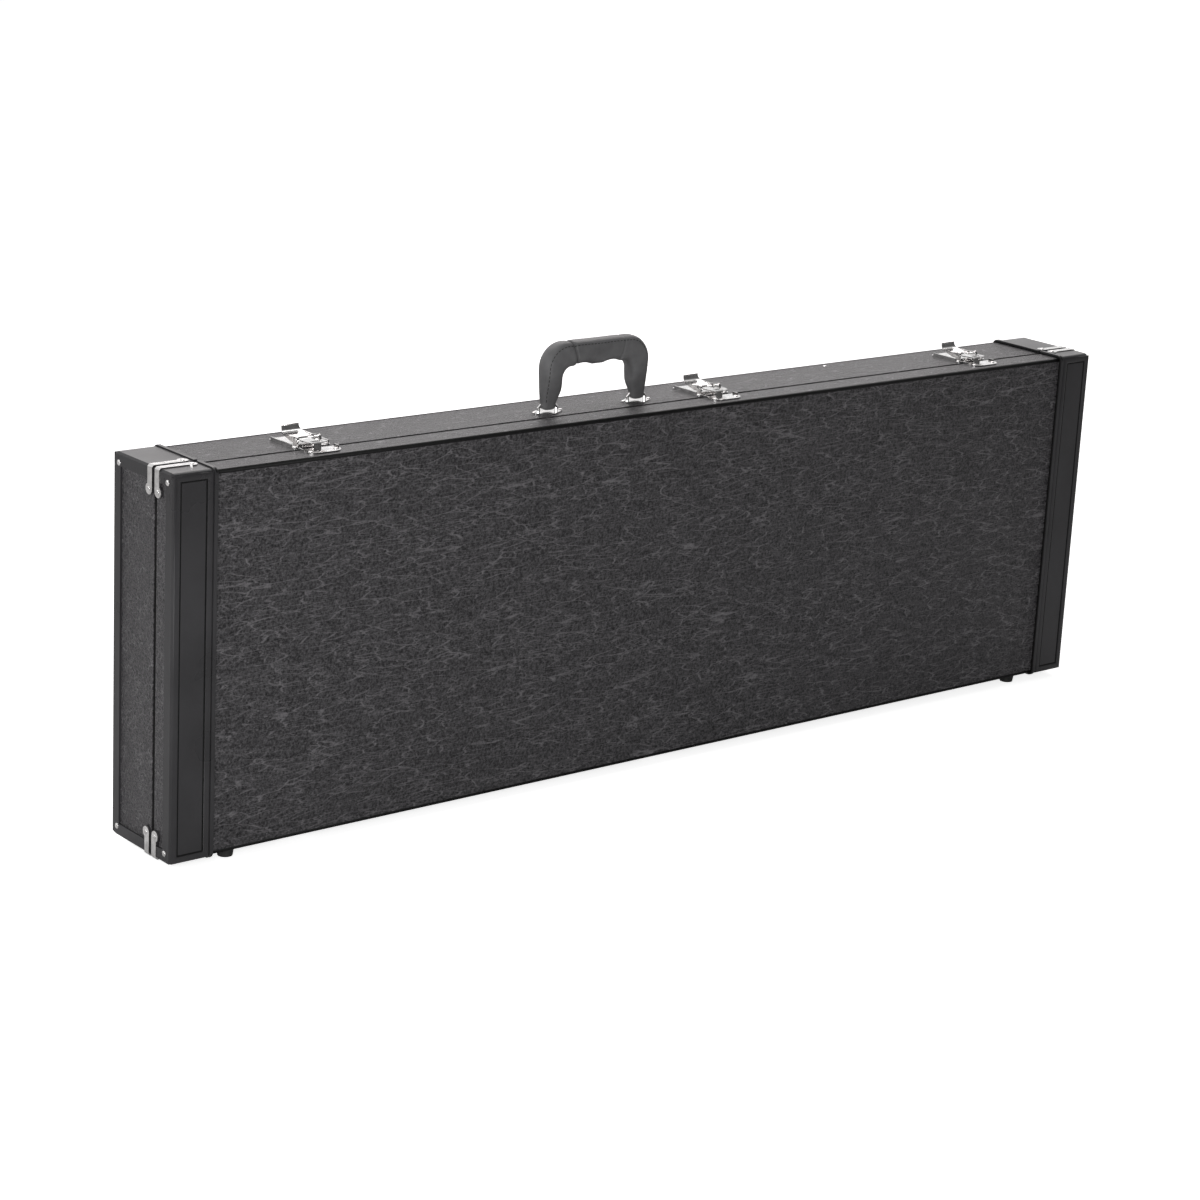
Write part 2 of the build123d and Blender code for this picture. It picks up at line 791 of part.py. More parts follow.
def write_trays():
    """Shells, coverings, linings, rims, caps and the fasteners of both trays."""
    for name, deep in (("base", True), ("lid", False)):
        write(f"{name}_shell", tray(deep))
        write(f"{name}_covering", tray_covering(deep))
        write(f"{name}_lining", tray_lining(deep))
        write(f"{name}_rim", rim(deep))
        write(f"{name}_cap_left", end_cap(deep, -1))
        write(f"{name}_cap_right", end_cap(deep, 1))
        write(f"{name}_corner_clips", corner_clips(deep))
        write(f"{name}_clip_rivets", clip_rivets(deep))
        write(f"{name}_cap_nails", cap_nails(deep))
        write(f"{name}_feet", feet(deep))
        write(f"{name}_hinge_leaves", at_stations(hinge_leaf(deep), hinge_stations))
        write(f"{name}_hinge_rivets", at_stations(hinge_rivets(deep), hinge_stations))
    write("hinge_pins", at_stations(hinge_pin(), hinge_stations))
    stud = head(rivet_radius, rivet_height)
    write("top_stud", Pos(stud_station[0], stud_station[1], shell_top) * stud)


def write_latches():
    """Three latches: plates, levers, hook plates and catches."""
    for number, x in enumerate(latch_stations, start=1):
        write(f"latch_{number}_plate", Pos(x, 0, 0) * latch_plate())
        write(f"latch_{number}_lever", Pos(x, 0, 0) * released(lever_closed(), False))
        write(f"latch_{number}_link_pin", Pos(x, 0, 0) * released(link_pin_closed(), False))
        write(f"latch_{number}_hook_plate", Pos(x, 0, 0) * released(bail_closed(), True))
        write(f"latch_{number}_catch", Pos(x, 0, 0) * latch_catch())
    write("latch_pivots", at_stations(latch_pivots(), latch_stations))
    write("latch_rivets", at_stations(plate_rivets(), latch_stations))
    write("catch_rivets", at_stations(catch_rivets(), latch_stations))


def write_handle():
    """The handle, its staples, brackets and rivets."""
    places = handle_feet_places()
    write("handle_grip", handle())
    write("handle_brackets", [place * handle_bracket() for place in places])
    write("handle_staples", [place * staple() for place in places])
    write("handle_rivets", [place * rivet for place in places for rivet in bracket_rivets()])


def write_inside():
    """Pads, the neck rest and the accessory compartment."""
    box_end = box_start + box_length
    middle = (inner_bottom + end_pad_inset, inner_top - end_pad_inset)
    write("body_end_pad", pad(-inner_end, -inner_end + end_pad_thickness, *middle))
    write("shoulder_pad_upper", shoulder_pad(True))
    write("shoulder_pad_lower", shoulder_pad(False))
    write("neck_pad_lower", pad(box_start, inner_end, inner_bottom, neck_bottom))
    write("neck_pad_upper", pad(box_end, inner_end, neck_top, inner_top))
    write("head_pad", pad(inner_end - head_pad_length, inner_end, neck_bottom, neck_top))
    write("neck_rest", neck_rest())
    write("compartment_box", compartment_box())
    write("compartment_rod", rod_x(box_rod_radius, box_start, box_end, box_rod_y, box_rod_z))
    write("compartment_lid", compartment_lid())
    write("compartment_tab", compartment_tab())


os.makedirs("parts", exist_ok=True)
write_trays()
write_latches()
write_handle()
write_inside()
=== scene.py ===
import json
import math

import bmesh
import bpy
from mathutils import Matrix, Vector, noise


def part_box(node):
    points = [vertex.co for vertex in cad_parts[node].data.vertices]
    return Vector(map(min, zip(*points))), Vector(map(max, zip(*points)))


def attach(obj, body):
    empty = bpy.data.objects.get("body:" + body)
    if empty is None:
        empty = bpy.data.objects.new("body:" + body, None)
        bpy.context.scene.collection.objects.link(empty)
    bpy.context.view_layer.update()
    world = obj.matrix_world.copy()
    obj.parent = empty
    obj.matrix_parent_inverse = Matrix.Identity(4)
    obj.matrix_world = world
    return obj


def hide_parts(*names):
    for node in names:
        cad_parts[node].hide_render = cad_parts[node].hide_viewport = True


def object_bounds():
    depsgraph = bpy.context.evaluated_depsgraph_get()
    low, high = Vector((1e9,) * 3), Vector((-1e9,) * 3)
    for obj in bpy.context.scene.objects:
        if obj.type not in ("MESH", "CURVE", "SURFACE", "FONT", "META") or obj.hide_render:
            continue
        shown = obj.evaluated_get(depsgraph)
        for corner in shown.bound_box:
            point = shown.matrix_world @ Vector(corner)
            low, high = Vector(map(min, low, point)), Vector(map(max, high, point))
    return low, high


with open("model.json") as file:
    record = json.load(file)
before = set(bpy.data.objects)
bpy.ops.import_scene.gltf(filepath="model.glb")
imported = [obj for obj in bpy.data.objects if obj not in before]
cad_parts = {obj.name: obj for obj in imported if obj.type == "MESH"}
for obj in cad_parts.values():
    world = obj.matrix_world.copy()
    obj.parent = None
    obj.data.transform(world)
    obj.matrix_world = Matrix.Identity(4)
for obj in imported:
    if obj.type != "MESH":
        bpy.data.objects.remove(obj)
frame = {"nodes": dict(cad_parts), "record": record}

nodes = frame["nodes"]
cad_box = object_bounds()
scene = bpy.context.scene
MM = 0.001


# Materials
class Tree:
    """A small helper that builds one material from nodes."""

    def __init__(self, name):
        self.mat = bpy.data.materials.new(name)
        self.mat.use_nodes = True
        self.nt = self.mat.node_tree
        self.nt.nodes.clear()
        self.out = self.node("ShaderNodeOutputMaterial")
        self.bsdf = self.node("ShaderNodeBsdfPrincipled")
        self.link(self.bsdf.outputs[0], self.out.inputs[0])
        self.place = self.node("ShaderNodeTexCoord").outputs["Object"]

    def node(self, kind, **values):
        made = self.nt.nodes.new(kind)
        for key, value in values.items():
            setattr(made, key, value)
        return made

    def link(self, a, b):
        self.nt.links.new(a, b)

    def stretched(self, x, y, z):
        """Object coordinates scaled along each axis, so that a pattern runs long or fine."""
        made = self.node("ShaderNodeMapping")
        made.inputs["Scale"].default_value = (x, y, z)
        self.link(self.place, made.inputs["Vector"])
        return made.outputs[0]

    def noise(self, scale, detail=3.0, rough=0.5, vector=None):
        made = self.node("ShaderNodeTexNoise")
        made.inputs["Scale"].default_value = scale
        made.inputs["Detail"].default_value = detail
        made.inputs["Roughness"].default_value = rough
        self.link(vector or self.place, made.inputs["Vector"])
        return made.outputs["Fac"]

    def math(self, op, a, b):
        made = self.node("ShaderNodeMath", operation=op)
        for socket, value in zip(made.inputs, (a, b)):
            if isinstance(value, (int, float)):
                socket.default_value = value
            else:
                self.link(value, socket)
        return made.outputs[0]

    def mixed(self, *parts):
        """The sum of (value, weight) pairs."""
        total = 0.0
        for value, weight in parts:
            total = self.math("ADD", self.math("MULTIPLY", value, weight), total)
        return total

    def ramp(self, value, low, dark, high, light):
        made = self.node("ShaderNodeValToRGB")
        for element, place, colour in zip(made.color_ramp.elements, (low, high), (dark, light)):
            element.position = place
            element.color = (*colour, 1.0)
        self.link(value, made.inputs[0])
        return made.outputs[0]

    def span(self, value, low, high, to_low, to_high):
        made = self.node("ShaderNodeMapRange")
        for socket, number in zip(made.inputs[1:5], (low, high, to_low, to_high)):
            socket.default_value = number
        self.link(value, made.inputs[0])
        return made.outputs[0]

    def creases(self, scale, width, wobble, vector):
        """Thin lines along the borders of warped cells, like the wrinkles pressed into vinyl."""
        warp = self.node("ShaderNodeTexNoise")
        warp.inputs["Scale"].default_value = scale * 0.4
        warp.inputs["Detail"].default_value = 3.0
        self.link(vector, warp.inputs["Vector"])
        shift = self.node("ShaderNodeVectorMath", operation="MULTIPLY_ADD")
        shift.inputs[1].default_value = (wobble, wobble, wobble)
        self.link(warp.outputs["Color"], shift.inputs[0])
        self.link(vector, shift.inputs[2])
        cells = self.node("ShaderNodeTexVoronoi", feature="DISTANCE_TO_EDGE")
        cells.inputs["Scale"].default_value = scale
        self.link(shift.outputs[0], cells.inputs["Vector"])
        return self.span(cells.outputs["Distance"], 0.0, width, 1.0, 0.0)

    def bump(self, height, strength, distance):
        made = self.node("ShaderNodeBump")
        made.inputs["Strength"].default_value = strength
        made.inputs["Distance"].default_value = distance
        self.link(height, made.inputs["Height"])
        return made.outputs[0]

    def finish(self, **sockets):
        for key, value in sockets.items():
            socket = self.bsdf.inputs[key.replace("_", " ")]
            if isinstance(value, (int, float)):
                socket.default_value = value
            else:
                self.link(value, socket)
        return self.mat


VINYL_GLOSS = 0.26


def grained_vinyl():
    """Black leatherette: long wavy wrinkles across the panels over a fine pebble."""
    t = Tree("grained_vinyl")
    wrinkles = t.creases(150.0, 0.05, 0.011, t.stretched(0.17, 1.0, 1.0))
    crossing = t.creases(190.0, 0.045, 0.012, t.stretched(0.15, 1.2, 1.2))
    open_ends = t.span(t.noise(60.0, 2.0, 0.5, t.stretched(0.4, 1.0, 1.0)), 0.38, 0.52, 0.0, 1.0)
    other_ends = t.span(t.noise(52.0, 2.0, 0.5, t.stretched(0.4, 1.2, 1.2)), 0.46, 0.6, 0.0, 1.0)
    some = t.math("MULTIPLY", wrinkles, open_ends)
    more = t.math("MULTIPLY", crossing, other_ends)
    lines = t.math("MAXIMUM", some, more)
    pebble = t.noise(430.0, 3.0, 0.7)
    height = t.mixed((lines, 0.6), (pebble, 1.7))
    tone = t.mixed((lines, 0.42), (pebble, 1.15))
    colour = t.ramp(tone, 0.4, (0.005, 0.0047, 0.0056), 1.0, (0.152, 0.146, 0.153))
    rough = t.span(t.mixed((pebble, 0.6), (lines, -0.3)), 0.0, 0.6, 0.3, 0.48)
    normal = t.bump(height, 0.8, 0.0008)
    return t.finish(Base_Color=colour, Roughness=rough, Normal=normal, Specular_IOR_Level=VINYL_GLOSS)


def smooth_vinyl():
    """The plain bands and borders at the ends, with a faint orange peel."""
    t = Tree("smooth_vinyl")
    peel = t.noise(420.0, 3.0)
    broad = t.noise(14.0, 3.0)
    colour = t.ramp(broad, 0.3, (0.027, 0.0263, 0.028), 0.7, (0.04, 0.039, 0.0415))
    rough = t.span(broad, 0.3, 0.7, 0.26, 0.38)
    normal = t.bump(peel, 0.2, 0.0004)
    return t.finish(Base_Color=colour, Roughness=rough, Normal=normal, Specular_IOR_Level=VINYL_GLOSS)


def edging():
    """Matt black edging strip in the seam; the trim's painted shade strips and edge cords use it too."""
    t = Tree("edging")
    fine = t.noise(300.0, 2.0)
    colour = t.ramp(fine, 0.3, (0.004, 0.004, 0.004), 0.7, (0.008, 0.008, 0.008))
    normal = t.bump(fine, 0.2, 0.0003)
    return t.finish(Base_Color=colour, Roughness=0.5, Normal=normal, Specular_IOR_Level=0.12)


def nickel():
    """Bright plated sheet, slightly wavy from pressing, with fine rubbing marks."""
    t = Tree("nickel")
    wave = t.noise(160.0, 3.0)
    marks = t.noise(1.0, 2.0, 0.5, t.stretched(900.0, 70.0, 900.0))
    colour = t.ramp(wave, 0.3, (0.56, 0.55, 0.545), 0.7, (0.80, 0.79, 0.785))
    rough = t.span(marks, 0.3, 0.7, 0.08, 0.2)
    return t.finish(Base_Color=colour, Roughness=rough, Normal=t.bump(wave, 0.2, 0.0005), Metallic=1.0)


def plush():
    """Short charcoal pile, brushed in patches."""
    t = Tree("plush")
    pile = t.noise(1500.0, 2.0, 0.7)
    patches = t.noise(22.0, 4.0)
    both = t.mixed((pile, 0.5), (patches, 0.5))
    colour = t.ramp(both, 0.35, (0.014, 0.013, 0.014), 0.65, (0.05, 0.047, 0.05))
    normal = t.bump(both, 0.7, 0.001)
    return t.finish(Base_Color=colour, Roughness=0.95, Normal=normal, Sheen_Weight=0.6)


def plywood():
    """Pale ply, seen where the covering stops."""
    t = Tree("plywood")
    grain = t.noise(1.0, 5.0, 0.6, t.stretched(6.0, 120.0, 60.0))
    colour = t.ramp(grain, 0.3, (0.34, 0.22, 0.12), 0.7, (0.55, 0.40, 0.25))
    return t.finish(Base_Color=colour, Roughness=0.65, Normal=t.bump(grain, 0.3, 0.0004))


def foot_rubber():
    """Moulded feet with scuffs."""
    t = Tree("foot_rubber")
    scuff = t.noise(240.0, 4.0)
    colour = t.ramp(scuff, 0.35, (0.010, 0.010, 0.010), 0.75, (0.032, 0.031, 0.030))
    rough = t.span(scuff, 0.3, 0.7, 0.5, 0.72)
    return t.finish(Base_Color=colour, Roughness=rough, Normal=t.bump(scuff, 0.3, 0.0004))


def handle_vinyl():
    """The handle's skin: a close pebble over soft hollows."""
    t = Tree("handle_vinyl")
    cells = t.creases(620.0, 0.3, 0.001, t.place)
    soft = t.noise(55.0, 3.0)
    height = t.mixed((cells, -0.35), (soft, 0.6))
    colour = t.ramp(soft, 0.3, (0.098, 0.097, 0.099), 0.7, (0.146, 0.145, 0.148))
    rough = t.span(soft, 0.3, 0.7, 0.38, 0.5)
    normal = t.bump(height, 0.5, 0.0005)
    return t.finish(Base_Color=colour, Roughness=rough, Normal=normal, Specular_IOR_Level=VINYL_GLOSS)


def thread():
    """Waxed sewing thread."""
    t = Tree("thread")
    twist = t.noise(2600.0, 1.0)
    colour = t.ramp(twist, 0.3, (0.004, 0.004, 0.004), 0.7, (0.016, 0.016, 0.016))
    return t.finish(Base_Color=colour, Roughness=0.6, Normal=t.bump(twist, 0.3, 0.0002))


MATERIALS = {make.__name__: make() for make in (
    plywood, grained_vinyl, smooth_vinyl, edging, plush, nickel, foot_rubber, handle_vinyl,
)}
THREAD = thread()


# Pieces
def add_piece(name, mesh, body, slot, replaces=(), material=None):
    """A new object of the given mesh that rides on a body and takes its finish from a slot."""
    piece = bpy.data.objects.new(name, mesh)
    scene.collection.objects.link(piece)
    mesh.materials.clear()
    mesh.materials.append(material or MATERIALS[slot])
    mesh.polygons.foreach_set("use_smooth", [True] * len(mesh.polygons))
    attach(piece, body)
    if replaces:
        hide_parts(*replaces)
    return piece


def from_bmesh(name, bm):
    """A mesh of the given name from bm, with its faces turned outwards. It frees bm."""
    mesh = bpy.data.meshes.new(name)
    bmesh.ops.recalc_face_normals(bm, faces=bm.faces)
    bm.to_mesh(mesh)
    bm.free()
    return mesh


def skin_rings(bm, rings):
    """Joins rings of points into a tube and closes its ends."""
    loops = [[bm.verts.new(p) for p in ring] for ring in rings]
    for low, high in zip(loops, loops[1:]):
        count = len(low)
        for i in range(count):
            bm.faces.new((low[i], low[(i + 1) % count], high[(i + 1) % count], high[i]))
    bm.faces.new(loops[0][::-1])
    bm.faces.new(loops[-1])


def islands(mesh):
    """The vertex places of each separate solid in a mesh."""
    bm = bmesh.new()
    bm.from_mesh(mesh)
    bmesh.ops.remove_doubles(bm, verts=bm.verts, dist=1e-6)
    seen = set()
    found = []
    for first in bm.verts:
        if first in seen:
            continue
        seen.add(first)
        stack = [first]
        group = []
        while stack:
            vert = stack.pop()
            group.append(vert.co.copy())
            for edge in vert.link_edges:
                other = edge.other_vert(vert)
                if other not in seen:
                    seen.add(other)
                    stack.append(other)
        found.append(group)
    bm.free()
    return found


def corners(points):
    """The lowest and highest corner of the box round some points."""
    low = Vector([min(p[i] for p in points) for i in range(3)])
    high = Vector([max(p[i] for p in points) for i in range(3)])
    return low, high


# Fastener heads, as rings with their shares of the head's radius and height
HEAD_PROFILE = ((1.0, 0.0), (1.0, 0.18), (0.93, 0.45), (0.76, 0.72), (0.48, 0.92), (0.16, 1.0))
HEAD_SEGMENTS = 20
case_middle = (Vector(cad_box[0]) + Vector(cad_box[1])) / 2


def domed_heads(node, body):
    """Round domed heads in the places of a node's heads, in one piece."""
    bm = bmesh.new()
    for points in islands(nodes[node].data):
        low, high = corners(points)
        size = high - low
        axis = min(range(3), key=lambda i: size[i])
        middle = (low + high) / 2
        facing = 1 if middle[axis] > case_middle[axis] else -1
        way = Vector((0, 0, 0))
        way[axis] = facing
        base = middle.copy()
        base[axis] = low[axis] if facing > 0 else high[axis]
        side = Vector((0, 0, 1)) if axis != 2 else Vector((1, 0, 0))
        other = way.cross(side)
        radius = max(size) / 2
        rings = []
        for wide, up in HEAD_PROFILE:
            ring = []
            for i in range(HEAD_SEGMENTS):
                angle = 2 * math.pi * i / HEAD_SEGMENTS
                around = side * math.cos(angle) + other * math.sin(angle)
                ring.append(base + way * (up * size[axis]) + around * (wide * radius))
            rings.append(ring)
        skin_rings(bm, rings)
    add_piece(node + "_domes", from_bmesh(node + "_domes", bm), body, "nickel", (node,))


# The handle, in millimetres from its station on the case's top
STATION = -82.0
SHELL_TOP = 391.0
FOOT_X = 59.0
FOOT_HALF = 8.0
FOOT_LOW = 2.6
FOOT_STRAIGHT = 6.0
KNEE = 25.0
LEG_STEPS = 24
CORNER_STEPS = 24
GRIP_STEPS = 48
HALF_WIDTH = 68.0
INNER_HALF = 45.4
GRIP_TOP = 72.6
OPENING = 46.4
SHOULDER = 26.0
INNER_CORNER = 12.0
GRIP_DEPTH = 10.8
FOOT_DEPTH = 5.8
FULL_DEPTH_AT = 42.0
HOLLOW = 2.4
HOLLOW_RADIUS = 34.0
HOLLOW_OFFSET = 19.0
SLEEVE_X = 31.0
SLEEVE_SEAM_WIDTH = 1.2
# Each sleeve seam's side of the grip, and how far it draws the skin in
SLEEVE_SEAMS = ((-1, 0.3), (1, 0.05))
# How much of its full size the skin has at the last rings of each foot
END_DRAW = {0: 0.55, 1: 0.9}
DEPTH_GROWS_FROM = FOOT_LOW + 3
RING = 40
SQUARENESS = 3.1
UNEVEN_SCALE = 0.09
UNEVEN_DEPTH = 0.012
STITCH_ANGLES = (54.0, 306.0)
STITCH_LENGTH = 3.0
STITCH_STEP = 4.3
STITCH_RADIUS = 0.42
STITCH_LOW = 12.0
STITCH_SINK = 0.98
GROOVE_HALF_ANGLE = 5
GROOVE_DEPTH = 0.035
# How far along a stitch, and how much of its full radius it has there
STITCH_PROFILE = ((0.0, 0.35), (0.15, 0.9), (0.5, 1.0), (0.85, 0.9), (1.0, 0.35))


def eased(value, low, high):
    """0 up to low and 1 from high, with a smooth turn between."""
    share = min(1.0, max(0.0, (value - low) / (high - low)))
    return share * share * (3 - 2 * share)


def finger_dip(x):
    """How far the grip's underside is hollowed at x."""
    off = abs(x) - HOLLOW_OFFSET
    return max(0.0, HOLLOW - HOLLOW_RADIUS + math.sqrt(HOLLOW_RADIUS ** 2 - off * off))


def handle_pairs():
    """(outer, inner) points across the handle, from its left foot over the grip to the right one."""
    leg_top = GRIP_TOP - SHOULDER
    inner_top = OPENING - INNER_CORNER
    half = []
    foot_outer, foot_inner = FOOT_X + FOOT_HALF, FOOT_X - FOOT_HALF
    for step in range(LEG_STEPS + 1):
        share = step / LEG_STEPS
        z = FOOT_LOW + (leg_top - FOOT_LOW) * share
        inner_z = FOOT_LOW + (inner_top - FOOT_LOW) * share
        outer = foot_outer + (HALF_WIDTH - foot_outer) * eased(z, FOOT_STRAIGHT, KNEE)
        inner = foot_inner + (INNER_HALF - foot_inner) * eased(inner_z, FOOT_STRAIGHT, KNEE)
        half.append(((outer, z), (inner, inner_z)))
    for step in range(1, CORNER_STEPS + 1):
        angle = math.pi / 2 * step / CORNER_STEPS
        c, s = math.cos(angle), math.sin(angle)
        half.append((
            (HALF_WIDTH - SHOULDER + SHOULDER * c, leg_top + SHOULDER * s),
            (INNER_HALF - INNER_CORNER + INNER_CORNER * c, inner_top + INNER_CORNER * s),
        ))
    for step in range(1, GRIP_STEPS + 1):
        share = 1 - step / GRIP_STEPS
        x = (INNER_HALF - INNER_CORNER) * share
        half.append((((HALF_WIDTH - SHOULDER) * share, GRIP_TOP), (x, OPENING + finger_dip(x))))
    other = [((-a[0], a[1]), (-b[0], b[1])) for a, b in half[:-1]]
    return other + half[::-1]


def pinch_at(outer, inner, from_end):
    """The share of its full size that the skin has: less at the feet's ends and the sleeve's seams."""
    draw = 1.0
    x = (outer[0] + inner[0]) / 2
    if (outer[1] + inner[1]) / 2 > OPENING:
        for side, depth in SLEEVE_SEAMS:
            gap = (x - side * SLEEVE_X) / SLEEVE_SEAM_WIDTH
            draw -= depth * math.exp(-gap * gap)
    return draw * END_DRAW.get(from_end, 1.0)


def skin_point(outer, inner, angle, pinch):
    """A point of the skin: angle 0 on the outer side, a quarter turn on the front."""
    middle = Vector(((outer[0] + inner[0]) / 2, 0, (outer[1] + inner[1]) / 2))
    half = Vector(((outer[0] - inner[0]) / 2, 0, (outer[1] - inner[1]) / 2))
    depth = FOOT_DEPTH + (GRIP_DEPTH - FOOT_DEPTH) * eased(middle.z, DEPTH_GROWS_FROM, FULL_DEPTH_AT)
    c, s = math.cos(angle), math.sin(angle)
    along = math.copysign(abs(c) ** (2 / SQUARENESS), c)
    across = math.copysign(abs(s) ** (2 / SQUARENESS), s)
    return middle + half * (along * pinch) + Vector((0, -depth * across * pinch, 0))


def handle_place(point):
    return Vector((STATION + point.x, point.y, SHELL_TOP + point.z)) * MM


def build_handle():
    """The plump sewn handle: skin, with grooves that its two stitch lines lie in."""
    pairs = handle_pairs()
    last = len(pairs) - 1
    bm = bmesh.new()
    rings = []
    for index, (outer, inner) in enumerate(pairs):
        pinch = pinch_at(outer, inner, min(index, last - index))
        middle = Vector(((outer[0] + inner[0]) / 2, 0, (outer[1] + inner[1]) / 2))
        ring = []
        for i in range(RING):
            degrees = 360.0 * i / RING
            point = skin_point(outer, inner, math.radians(degrees), pinch)
            grooved = min(abs(degrees - a) for a in STITCH_ANGLES) < GROOVE_HALF_ANGLE
            swell = 1 + noise.noise(point * UNEVEN_SCALE) * UNEVEN_DEPTH - (GROOVE_DEPTH if grooved else 0.0)
            ring.append(handle_place(middle + (point - middle) * swell))
        rings.append(ring)
    skin_rings(bm, rings)
    skin = from_bmesh("handle_skin", bm)
    grip = add_piece("handle_skin", skin, "handle", "handle_vinyl", ("handle_grip",))
    rounding = grip.modifiers.new("rounding", "SUBSURF")
    rounding.levels = rounding.render_levels = 1
    build_stitches(pairs)


def capsule(bm, start, end, radius, sides=6):
    """A short rod with tapered ends."""
    way = (end - start).normalized()
    side = way.orthogonal().normalized()
    other = way.cross(side)
    rings = []
    for share, wide in STITCH_PROFILE:
        centre = start.lerp(end, share)
        turns = [2 * math.pi * k / sides for k in range(sides)]
        rings.append([centre + (side * math.cos(a) + other * math.sin(a)) * (radius * wide) for a in turns])
    skin_rings(bm, rings)


def build_stitches(pairs):
    """Sewn lines beside the outer edge on both faces of the handle."""
    bm = bmesh.new()
    last = len(pairs) - 1
    for degrees in STITCH_ANGLES:
        path = []
        for index, (outer, inner) in enumerate(pairs):
            if outer[1] > STITCH_LOW:
                pinch = pinch_at(outer, inner, min(index, last - index)) * STITCH_SINK
                path.append(skin_point(outer, inner, math.radians(degrees), pinch))
        travelled = 0.0
        for a, b in zip(path, path[1:]):
            length = (b - a).length
            half = (b - a).normalized() * (STITCH_LENGTH / 2)
            while travelled < length:
                middle = a.lerp(b, travelled / length)
                capsule(bm, handle_place(middle - half), handle_place(middle + half), STITCH_RADIUS * MM)
                travelled += STITCH_STEP
            travelled -= length
    add_piece("handle_stitches", from_bmesh("handle_stitches", bm), "handle", "handle_vinyl", material=THREAD)


# Padding
PAD_VOXEL = 6.0 * MM
PAD_SHRINK = 1.2 * MM
PAD_CAP = 5.0 * MM
PAD_PROUD = 2.0 * MM
PAD_FRAMES = 14
PAD_PRESSURE = 4.0
PADS = (
    "body_end_pad", "shoulder_pad_upper", "shoulder_pad_lower", "neck_pad_lower", "neck_pad_upper",
    "head_pad", "neck_rest",
)


def apply_modifier(piece, modifier):
    bpy.ops.object.select_all(action="DESELECT")
    piece.select_set(True)
    bpy.context.view_layer.objects.active = piece
    bpy.ops.object.modifier_apply(modifier=modifier.name)


def blow_up(pad, glued_y):
    """Swells a pad as cloth under pressure, with its back held where it is glued."""
    held = pad.vertex_groups.new(name="glued")
    held.add([v.index for v in pad.data.vertices if v.co.y > glued_y], 1.0, "ADD")
    cloth = pad.modifiers.new("cloth", "CLOTH")
    cloth.settings.use_pressure = True
    cloth.settings.uniform_pressure_force = PAD_PRESSURE
    cloth.settings.effector_weights.gravity = 0.0
    cloth.settings.vertex_group_mass = held.name
    cloth.collision_settings.use_collision = False
    cloth.point_cache.frame_end = PAD_FRAMES
    for number in range(1, PAD_FRAMES + 1):
        scene.frame_set(number)
    apply_modifier(pad, cloth)
    scene.frame_set(1)


def stuffed_pad(node):
    """A plush pad made from its block: crowned in front, flat where it is glued to the tray."""
    low, high = (Vector(c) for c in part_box(node))
    middle = (low + high) / 2
    mesh = nodes[node].data.copy()
    for vert in mesh.vertices:
        for axis in range(3):
            share = 1 - 2 * PAD_SHRINK / (high[axis] - low[axis])
            vert.co[axis] = middle[axis] + (vert.co[axis] - middle[axis]) * share
    pad = add_piece(node + "_cushion", mesh, "base", "plush", (node,))
    remesh = pad.modifiers.new("remesh", "REMESH")
    remesh.mode = "VOXEL"
    remesh.voxel_size = PAD_VOXEL
    apply_modifier(pad, remesh)
    before = [v.co.copy() for v in pad.data.vertices]
    blow_up(pad, high.y - PAD_VOXEL)
    for vert, start in zip(pad.data.vertices, before):
        move = vert.co - start
        if move.length > PAD_CAP:
            move *= PAD_CAP / move.length
        place = start + move
        for axis in range(3):
            proud = PAD_PROUD if axis == 1 else 0.0
            place[axis] = max(low[axis] - proud, min(high[axis], place[axis]))
        vert.co = place
    rounding = pad.modifiers.new("rounding", "SUBSURF")
    rounding.levels = rounding.render_levels = 1
    pad.data.polygons.foreach_set("use_smooth", [True] * len(pad.data.polygons))


# The trays' plush linings
LINING_STEP = 16.0 * MM
LINING_CORNER = 7.0 * MM
LINING_CORNER_STEPS = 4
LINING_MID_WALL = 0.6
LINING_INSET = 1.2 * MM
LINING_CLOTH = 1.2 * MM
LINING_UNEVEN = 0.4 * MM
LINING_RIPPLES = 9.0


